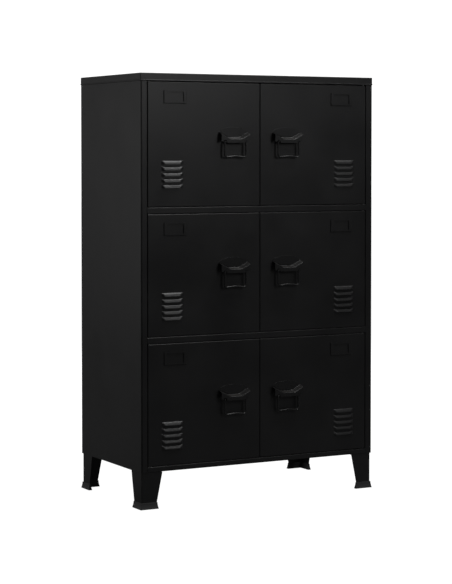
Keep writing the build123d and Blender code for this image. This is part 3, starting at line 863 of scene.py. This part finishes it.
# Leg bolts and nuts: zinc-plated hexagon bolts, put in from below, and nuts inside the base.
BOLT_HEAD = 10.0 * MM
BOLT_HEAD_HEIGHT = 4.0 * MM
BOLT_RADIUS = 3.0 * MM
BOLT_REACH = 12.0 * MM
NUT_HEIGHT = 5.0 * MM
BOLT_NEAR = 22.0 * MM
BOLT_FAR = 44.0 * MM


def hexagon(name, height, bore=None):
    """A hexagonal prism with chamfered corners, plain or with a bore through it."""
    skin = Skin()
    flat = BOLT_HEAD / 2
    across = flat / math.cos(math.pi / 6)

    def ring(z, chamfer):
        loop = []
        for k in range(24):
            turn = 2 * math.pi * k / 24
            edge = flat / math.cos((turn + math.pi / 6) % (math.pi / 3) - math.pi / 6)
            reach = min(edge, across - chamfer)
            loop.append((reach * math.cos(turn), reach * math.sin(turn), z))
        return loop + loop[:1]

    cut = across - flat
    rows = [ring(0, cut), ring(cut * 0.55, 0), ring(height - cut * 0.55, 0), ring(height, cut)]
    if bore:
        circle = [(bore * math.cos(t), bore * math.sin(t)) for t in (math.pi / 12 * k for k in range(25))]
        rows = [[(u, v, 0) for u, v in circle]] + rows + [[(u, v, z) for u, v in circle] for z in (height, 0)]
        skin.patch(rows)
    else:
        skin.patch(rows)
        skin.face(rows[0][:-1])
        skin.face(rows[-1][:-1])
    return skin.object(name)


def bolt_places(z):
    """Where the two bolts of every leg stand, at one height."""
    return [
        (corner[0] + toward_x * across, corner[1] + toward_y * along, z)
        for _, _, _, corner, (toward_x, toward_y), _, _ in corner_places()
        for across, along in ((BOLT_FAR, BOLT_NEAR), (BOLT_NEAR, BOLT_FAR))
    ]


leg_low, leg_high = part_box("front_left_leg")
seat_z = leg_high.z - LEG_SHEET
head = hexagon("head", BOLT_HEAD_HEIGHT)
shank = turned(
    "shank",
    [
        (0, BOLT_HEAD_HEIGHT - 0.5 * MM),
        (BOLT_RADIUS - 0.05 * MM, BOLT_HEAD_HEIGHT - 0.5 * MM),
        (BOLT_RADIUS - 0.05 * MM, BOLT_HEAD_HEIGHT + BOLT_REACH - 1 * MM),
        (BOLT_RADIUS - 1 * MM, BOLT_HEAD_HEIGHT + BOLT_REACH),
        (0, BOLT_HEAD_HEIGHT + BOLT_REACH),
    ],
)
bolts = placed(
    "leg_bolt_set",
    joined([head, shank], "bolt"),
    bolt_places(seat_z - BOLT_HEAD_HEIGHT),
    (0, 0, 0),
    0.5,
    ZINC,
)
fit(bolts, ZINC, "zinc_steel", "carcass", "leg_bolts")
nut_low, nut_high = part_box("leg_nuts")
nuts = placed(
    "leg_nut_set", hexagon("nut", NUT_HEIGHT, BOLT_RADIUS), bolt_places(nut_low.z), (0, 0, 0), 0.5, ZINC
)
fit(nuts, ZINC, "zinc_steel", "carcass", "leg_nuts")


# Doors: pressed pans. The face is folded back on all four sides over a soft bend and turned in
# again behind. Five louvres are lanced and pressed outwards near the hinge side, open underneath.
DOOR_LIP = 12.0 * MM
DOOR_BEND = 2.0 * MM
DOOR_BACK_BEND = 1.2 * MM
DOOR_DEPTH = 17.0 * MM
LOUVRE_COUNT = 5
LOUVRE_PITCH = 16.4 * MM
LOUVRE_CENTRE = 278.0 * MM
LOUVRE_BELOW_TOP = 217.0 * MM
LOUVRE_HALF_WIDTH = 33.5 * MM
LOUVRE_HEIGHT = 10.0 * MM
LOUVRE_REACH = 5.4 * MM
LOUVRE_STRAIGHT = 0.3
LOUVRE_CURL = 2.6
LOUVRE_END_SLOPE = 0.58
LOUVRE_SOFTNESS = 0.5 * MM

DOOR_COAT = coat("door_coat", (0.0075, 0.0075, 0.008), (0.012, 0.012, 0.0125), 0.36, 0.05, 0.025 * MM)


def louvre_height(across, down):
    """How far a louvre stands out, from its middle (across) and its top edge (down, 0 to 1)."""
    down = min(max(down, 0), 1)
    curl = 1 - (1 - down) ** LOUVRE_CURL
    roof = LOUVRE_REACH * (LOUVRE_STRAIGHT * down + (1 - LOUVRE_STRAIGHT) * curl)
    end = LOUVRE_END_SLOPE * max(LOUVRE_HALF_WIDTH - abs(across), 0)
    if min(roof, end) <= 0:
        return 0.0
    blend = max(LOUVRE_SOFTNESS - abs(roof - end), 0) / LOUVRE_SOFTNESS
    return max(min(roof, end) - blend * blend * LOUVRE_SOFTNESS / 4, 0)


def door_pan(name, node, sign):
    """The skin of one door with its louvres, before it gets its thickness."""
    low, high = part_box(node)
    face_y = high.y - DOOR_DEPTH
    middle = sign * LOUVRE_CENTRE
    offsets = [0, 8, 14, 18, 21, 23.5, 25.5, 27.5, 29.5, 31.2, 32.5, 33.5]
    columns = sorted({round(middle + s * o * MM, 7) for o in offsets for s in (-1, 1)})
    steps = [0, 0.06, 0.14, 0.25, 0.38, 0.52, 0.68, 0.84, 1]
    across = [low.x + DOOR_BEND] + columns + [high.x - DOOR_BEND]
    up = [low.z + DOOR_BEND]
    tops = [high.z - LOUVRE_BELOW_TOP - k * LOUVRE_PITCH for k in range(LOUVRE_COUNT)]
    for top in tops[::-1]:
        up += [top - step * LOUVRE_HEIGHT for step in steps[::-1]]
    up.append(high.z - DOOR_BEND)
    skin = Skin()
    first, last = columns[0] - 1e-6, columns[-1] + 1e-6
    for z0, z1 in zip(up, up[1:]):
        top = next((t for t in tops if t - LOUVRE_HEIGHT - 1e-6 < z0 and z1 < t + 1e-6), None)
        for x0, x1 in zip(across, across[1:]):
            raised = top is not None and first <= x0 and x1 <= last

            def at(x, z):
                out = louvre_height(x - middle, (top - z) / LOUVRE_HEIGHT) if raised else 0
                return (x, face_y - out, z)

            skin.face((at(x0, z0), at(x1, z0), at(x1, z1), at(x0, z1)))
    back = [
        (
            DOOR_BACK_BEND * (1 - math.cos(math.pi / 2 * k / 4)),
            DOOR_DEPTH - DOOR_BACK_BEND * (1 - math.sin(math.pi / 2 * k / 4)),
        )
        for k in range(5)
    ]
    loops(
        skin,
        (low.x, low.z),
        (high.x, high.z),
        across,
        up,
        bend_profile(DOOR_BEND) + back + [(DOOR_LIP, DOOR_DEPTH)],
        lambda u, v, depth: (u, face_y + depth, v),
        DOOR_BEND,
    )
    return skin.object(name, (0, -1, 0))


for row in ROWS:
    for side, sign in SIDES.items():
        node = f"{row}_{side}_door_panel"
        door = smooth(give_thickness(door_pan(f"{node}_shell", node, sign), SHEET), math.radians(38))
        door.name = f"{row}_{side}_door_skin"
        fit(door, DOOR_COAT, "door_paint", f"{row}_{side}_door", node)


# Door stiffeners: hat channels, spot-welded behind the door skins by their two flanges.
STIFFENER_FLANGE = 11.0 * MM
STIFFENER_BEND = 1.5 * MM

for row in ROWS:
    for side in SIDES:
        node = f"{row}_{side}_door_stiffener"
        low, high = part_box(node)
        rib_y = low.y + SHEET
        wall = low.x + STIFFENER_FLANGE, high.x - STIFFENER_FLANGE
        path = rounded(
            [
                (low.x, rib_y),
                (wall[0], rib_y),
                (wall[0], high.y),
                (wall[1], high.y),
                (wall[1], rib_y),
                (high.x, rib_y),
            ],
            STIFFENER_BEND,
        )
        hat = folded(f"{node}_shell", path, [low.z, high.z], lambda u, v, w: (u, v, w), (0, 1, 0))
        hat = smooth(hat)
        hat.name = f"{row}_{side}_door_hat"
        fit(hat, DOOR_COAT, "door_paint", f"{row}_{side}_door", node)


# Card holders: a thin frame with a window, folded down to the door on three sides and open at the
# top, where the card drops in.
HOLDER_SHEET = 0.7 * MM
HOLDER_BEND = 1.1 * MM
WINDOW_HALF = (26.0 * MM, 13.5 * MM)

for row in ROWS:
    for side in SIDES:
        node = f"{row}_{side}_card_holder"
        low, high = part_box(node)
        centre = ((low.x + high.x) / 2, (low.z + high.z) / 2)
        window = rounded_loop(
            [
                (centre[0] + s * WINDOW_HALF[0], centre[1] + t * WINDOW_HALF[1])
                for s, t in ((-1, -1), (1, -1), (1, 1), (-1, 1))
            ],
            1.0 * MM,
        )
        skin = Skin()
        half_x = (high.x - low.x - 2 * HOLDER_BEND) / 2
        half_z = (high.z - low.z - 2 * HOLDER_BEND) / 2
        inner = [
            (centre[0] + s * half_x, centre[1] + t * half_z)
            for s, t in ((-1, -1), (1, -1), (1, 1), (-1, 1))
        ]
        outer = [corner for corner in inner for _ in range(4)]
        skin.patch(
            [[(u, low.y, v) for u, v in outer + outer[:1]], [(u, low.y, v) for u, v in window + window[:1]]]
        )
        rows = []
        for inset, depth in bend_profile(HOLDER_BEND, 4) + [(0, high.y - low.y)]:
            keep = HOLDER_BEND - inset
            row_points = [(inner[3][0] - keep, inner[3][1])]
            for centre_point, start in ((inner[0], 180), (inner[1], 270)):
                for k in range(4):
                    turn = math.radians(start + 30 * k)
                    row_points.append(
                        (centre_point[0] + keep * math.cos(turn), centre_point[1] + keep * math.sin(turn))
                    )
            row_points.append((inner[2][0] + keep, inner[2][1]))
            rows.append([(u, low.y + depth, v) for u, v in row_points])
        skin.patch(rows)
        holder = smooth(give_thickness(skin.object(f"{node}_shell", (0, -1, 0)), HOLDER_SHEET))
        holder.name = f"{row}_{side}_card_frame"
        fit(holder, DOOR_COAT, "door_paint", f"{row}_{side}_door", node)


# Hinge pins and washers: each door turns on two zinc-plated steel pins, whose collars sit inside
# its returns. A nylon washer on the lower pin carries its weight.
PIN_RADIUS = 2.0 * MM
COLLAR_RADIUS = 3.2 * MM
COLLAR_HEIGHT = 2.0 * MM
PIN_REACH = 6.0 * MM
PIN_ROOT = 9.0 * MM

NYLON = coat("nylon_washer", (0.012, 0.012, 0.012), (0.018, 0.018, 0.018), 0.5, 0.05, 0.01 * MM, grain=900)

for row in ROWS:
    for side in SIDES:
        node = f"{row}_{side}_hinge_pins"
        low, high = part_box(node)
        middle = ((low.x + high.x) / 2, (low.y + high.y) / 2)
        pins = []
        for tip, toward in ((high.z, -1), (low.z, 1)):
            collar = PIN_REACH + SHEET
            outline = [
                (0, 0),
                (PIN_RADIUS - 0.5 * MM, 0),
                (PIN_RADIUS, 0.5 * MM),
                (PIN_RADIUS, collar),
                (COLLAR_RADIUS, collar),
                (COLLAR_RADIUS, collar + COLLAR_HEIGHT),
                (PIN_RADIUS, collar + COLLAR_HEIGHT),
                (PIN_RADIUS, PIN_REACH + PIN_ROOT - 0.4 * MM),
                (PIN_RADIUS - 0.4 * MM, PIN_REACH + PIN_ROOT),
                (0, PIN_REACH + PIN_ROOT),
            ]
            pins.append(turned("pin", [(r, tip + toward * h) for r, h in outline]))
        pins = joined(pins, f"{row}_{side}_pin_pair")
        pins.data.transform(Matrix.Translation((*middle, 0)))
        fit(smooth(pins), ZINC, "zinc_steel", f"{row}_{side}_door", node)


def softened(node, name, bevel):
    """A copy of a CAD node's mesh with its corners merged and its edges broken."""
    piece = bpy.data.objects.new(name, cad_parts[node].data.copy())
    bpy.context.scene.collection.objects.link(piece)
    mesh = bmesh.new()
    mesh.from_mesh(piece.data)
    bmesh.ops.remove_doubles(mesh, verts=mesh.verts, dist=1e-6)
    bmesh.ops.dissolve_limit(mesh, angle_limit=math.radians(1), verts=mesh.verts, edges=mesh.edges)
    mesh.to_mesh(piece.data)
    mesh.free()
    rim = piece.modifiers.new("rim", "BEVEL")
    rim.width, rim.segments, rim.limit_method = bevel, 2, "ANGLE"
    rim.angle_limit = math.radians(40)
    return smooth(settle(piece))


washers = softened("hinge_washers", "hinge_washer_set", 0.2 * MM)
fit(washers, NYLON, "washer_plastic", "carcass", "hinge_washers")


# Magnetic catches: black moulded housings that hang from the sheet above each pair of doors, each
# with two block magnets that pull the doors' folded lips.
CATCH_PLASTIC = coat(
    "catch_plastic", (0.02, 0.02, 0.02), (0.03, 0.03, 0.03), 0.5, 0.05, 0.02 * MM, grain=1600
)
MAGNET = coat("magnet", (0.1, 0.1, 0.105), (0.16, 0.16, 0.165), 0.45, 0.1, 0.02 * MM, grain=2200, metal=0.8)

for row in ROWS:
    node = f"{row}_magnetic_catch"
    housing = softened(node, f"{row}_catch_housing", 0.5 * MM)
    fit(housing, CATCH_PLASTIC, "catch_plastic", "carcass", node)
magnets = softened("catch_magnets", "catch_magnet_set", 0.3 * MM)
fit(magnets, MAGNET, "magnet", "carcass", "catch_magnets")


# Handle brackets: stamped from 1.2 mm sheet, with an arched back plate and a hood that dips in the
# middle. Two cheeks inside the hood carry the bail, and the hood's lower edge has a notch on each
# side where the bail's arms pass. Brackets and bails have a slightly smoother black coat.
HOOD_SHEET = 1.2 * MM
HOOD_BEND = 1.8 * MM
HALF_WIDTH = 46.0 * MM
LEDGE_HALF = 18.0 * MM
LEDGE_RISE = 14.0 * MM
LEDGE_SOFTNESS = 3.5 * MM
LEDGE_FALL = 4.0 * MM
HOOD_DROP = 13.0 * MM
HOOD_END_DROP = 9.0 * MM
NOTCH_DROP = 5.5 * MM
NOTCH_INSIDE = 28.0 * MM
NOTCH_OUTSIDE = 39.0 * MM
NOTCH_SLOPE = 2.0 * MM
ARCH_SPRING = 17.0 * MM
ARCH_RISE = 31.0 * MM
CHEEK_INSIDE = 25.5 * MM
CHEEK_THICKNESS = 1.5 * MM
AXIS_DROP = 9.0 * MM

HANDLE_COAT = coat("handle_coat", (0.01, 0.01, 0.0105), (0.015, 0.015, 0.0155), 0.28, 0.04, 0.012 * MM)


def ledge(x):
    """Height of the hood's upper edge: level in the middle, then rising along a soft bend."""
    slope = LEDGE_RISE / (HALF_WIDTH - LEDGE_HALF)
    past = abs(x) - LEDGE_HALF
    if past < -LEDGE_SOFTNESS:
        return 0.0
    if past < LEDGE_SOFTNESS:
        return slope * (past + LEDGE_SOFTNESS) ** 2 / (4 * LEDGE_SOFTNESS)
    return slope * past


def hem(x):
    """Height of the hood's lower edge, with its notches."""
    x = abs(x)
    if x <= NOTCH_INSIDE:
        return -HOOD_DROP
    if x <= NOTCH_INSIDE + NOTCH_SLOPE:
        return -HOOD_DROP + (HOOD_DROP - NOTCH_DROP) * (x - NOTCH_INSIDE) / NOTCH_SLOPE
    if x <= NOTCH_OUTSIDE - NOTCH_SLOPE:
        return -NOTCH_DROP
    if x <= NOTCH_OUTSIDE:
        return -NOTCH_DROP - (HOOD_END_DROP - NOTCH_DROP) * (x - NOTCH_OUTSIDE + NOTCH_SLOPE) / NOTCH_SLOPE
    return -HOOD_END_DROP


def bracket(name):
    """One bracket about the middle of its ledge line, with its back on the plane y = 0."""
    low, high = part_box("upper_left_handle_bracket")
    depth = high.y - low.y
    half_stations = [0, 5, 10, 13, 16, 19, 22, 25, 28, 30, 33, 37, 39, 42, 44.5, 46]
    stations = sorted({s * x * MM for x in half_stations for s in (-1, 1)})
    root, brow = LEDGE_FALL / 2, -LEDGE_FALL / 2
    ledge_path = rounded(
        [(-HOOD_SHEET, root + 2.4 * MM), (-HOOD_SHEET, root), (-depth, brow), (-depth, brow - 4 * MM)],
        HOOD_BEND,
        5,
    )
    skin = Skin()
    rows = []
    for y, z in ledge_path:
        rows.append([(x, y, z + ledge(x)) for x in stations])
    rows.append([(x, -depth, (hem(x) * 0.5 - 2 * MM + ledge(x) * 0.5)) for x in stations])
    rows.append([(x, -depth, hem(x)) for x in stations])
    skin.patch(rows)
    hood = give_thickness(skin.object("hood", (0, 0, 1)), HOOD_SHEET)
    arch = []
    for k in range(33):
        turn = math.pi * k / 32
        arch.append(
            (HALF_WIDTH * math.cos(turn), ARCH_SPRING + (ARCH_RISE - ARCH_SPRING) * math.sin(turn))
        )
    foot = [
        (-HALF_WIDTH, -HOOD_END_DROP),
        (-NOTCH_OUTSIDE, -HOOD_END_DROP),
        (-NOTCH_INSIDE, -HOOD_DROP),
        (NOTCH_INSIDE, -HOOD_DROP),
        (NOTCH_OUTSIDE, -HOOD_END_DROP),
        (HALF_WIDTH, -HOOD_END_DROP),
    ]
    outline = arch + foot
    plate = Skin()
    for y in (0, -HOOD_SHEET):
        plate.face([(x, y, z) for x, z in outline])
    plate.patch([[(x, y, z) for x, z in outline + outline[:1]] for y in (0, -HOOD_SHEET)])
    plate = plate.object("plate")
    rim = plate.modifiers.new("rim", "BEVEL")
    rim.width, rim.segments, rim.limit_method, rim.angle_limit = 0.35 * MM, 2, "ANGLE", math.radians(50)
    settle(plate)
    cheeks = []
    for sign in (-1, 1):
        outer, inner = sign * (CHEEK_INSIDE + CHEEK_THICKNESS), sign * CHEEK_INSIDE
        cheeks.append(
            block(
                "cheek",
                (min(outer, inner), -depth + HOOD_SHEET * 0.9, -HOOD_DROP + 0.2 * MM),
                (max(outer, inner), -HOOD_SHEET * 0.9, -HOOD_SHEET * 0.5),
                0.2 * MM,
            )
        )
    return smooth(joined([hood, plate] + cheeks, name), math.radians(40))


for row in ROWS:
    for side in SIDES:
        node = f"{row}_{side}_handle_bracket"
        low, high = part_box(node)
        piece = bracket(f"{row}_{side}_hooded_bracket")
        place = ((low.x + high.x) / 2, high.y, high.z - ARCH_RISE)
        piece.data.transform(Matrix.Translation(place))
        fit(piece, HANDLE_COAT, "handle_metal", f"{row}_{side}_door", node)


# Bails: 5 mm rod bent to a flat ring, its grip bowed up a little in the middle for the fingers. The
# two ends turn in the hood's cheeks.
ROD_RADIUS = 2.5 * MM
BAIL_HALF = 33.5 * MM
BAIL_END = 23.5 * MM
BAIL_DROP = 53.5 * MM
BAIL_BOW = 3.5 * MM
BAIL_TOP_BEND = 4.5 * MM
BAIL_FOOT_BEND = 7.0 * MM
BAIL_BOW_BEND = 60.0 * MM


def bent_rod_tree():
    """Node tree: a round bar along a path, closed at both ends."""
    tree = bpy.data.node_groups.new("bent_rod", "GeometryNodeTree")
    tree.interface.new_socket("Path", in_out="INPUT", socket_type="NodeSocketGeometry")
    tree.interface.new_socket("Radius", in_out="INPUT", socket_type="NodeSocketFloat")
    tree.interface.new_socket("Sides", in_out="INPUT", socket_type="NodeSocketInt")
    tree.interface.new_socket("Finish", in_out="INPUT", socket_type="NodeSocketMaterial")
    tree.interface.new_socket("Rod", in_out="OUTPUT", socket_type="NodeSocketGeometry")
    nodes, links = tree.nodes, tree.links
    entry, leave = nodes.new("NodeGroupInput"), nodes.new("NodeGroupOutput")
    line = nodes.new("GeometryNodeMeshToCurve")
    section = nodes.new("GeometryNodeCurvePrimitiveCircle")
    sweep = nodes.new("GeometryNodeCurveToMesh")
    sweep.inputs["Fill Caps"].default_value = True
    real = nodes.new("GeometryNodeRealizeInstances")
    finish = nodes.new("GeometryNodeSetMaterial")
    links.new(entry.outputs["Path"], line.inputs[0])
    links.new(entry.outputs["Radius"], section.inputs["Radius"])
    links.new(entry.outputs["Sides"], section.inputs["Resolution"])
    links.new(line.outputs[0], sweep.inputs["Curve"])
    links.new(section.outputs["Curve"], sweep.inputs["Profile Curve"])
    links.new(sweep.outputs[0], real.inputs[0])
    links.new(real.outputs[0], finish.inputs["Geometry"])
    links.new(entry.outputs["Finish"], finish.inputs["Material"])
    links.new(finish.outputs[0], leave.inputs["Rod"])
    return tree


BENT_ROD = bent_rod_tree()


def bail_route():
    """The bail's middle line as (x, z) points, from one end round to the other."""
    corners = [
        (BAIL_END, -AXIS_DROP),
        (BAIL_HALF, -AXIS_DROP),
        (BAIL_HALF, -BAIL_DROP),
        (0, -BAIL_DROP + BAIL_BOW),
        (-BAIL_HALF, -BAIL_DROP),
        (-BAIL_HALF, -AXIS_DROP),
        (-BAIL_END, -AXIS_DROP),
    ]
    bends = [BAIL_TOP_BEND, BAIL_FOOT_BEND, BAIL_BOW_BEND, BAIL_FOOT_BEND, BAIL_TOP_BEND]
    route = [Vector(corners[0])]
    for k, radius in enumerate(bends):
        route += rounded(corners[k : k + 3], radius, 10)[1:-1]
    return route + [Vector(corners[-1])]


for row in ROWS:
    for side in SIDES:
        node = f"{row}_{side}_bail"
        bracket_low, bracket_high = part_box(f"{row}_{side}_handle_bracket")
        low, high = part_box(node)
        points = [
            ((low.x + high.x) / 2 + x, (low.y + high.y) / 2, bracket_high.z - ARCH_RISE + z)
            for x, z in bail_route()
        ]
        data = bpy.data.meshes.new(f"{row}_{side}_bail_rod")
        data.from_pydata(points, [(k, k + 1) for k in range(len(points) - 1)], [])
        rod = bpy.data.objects.new(data.name, data)
        bpy.context.scene.collection.objects.link(rod)
        modifier = rod.modifiers.new("rod", "NODES")
        modifier.node_group = BENT_ROD
        values = {"Radius": ROD_RADIUS, "Sides": 20, "Finish": HANDLE_COAT}
        for item in BENT_ROD.interface.items_tree:
            if item.name in values:
                modifier[item.identifier] = values[item.name]
        settle(rod)
        fit(smooth(rod, math.radians(50)), HANDLE_COAT, "handle_metal", f"{row}_{side}_pull", node)
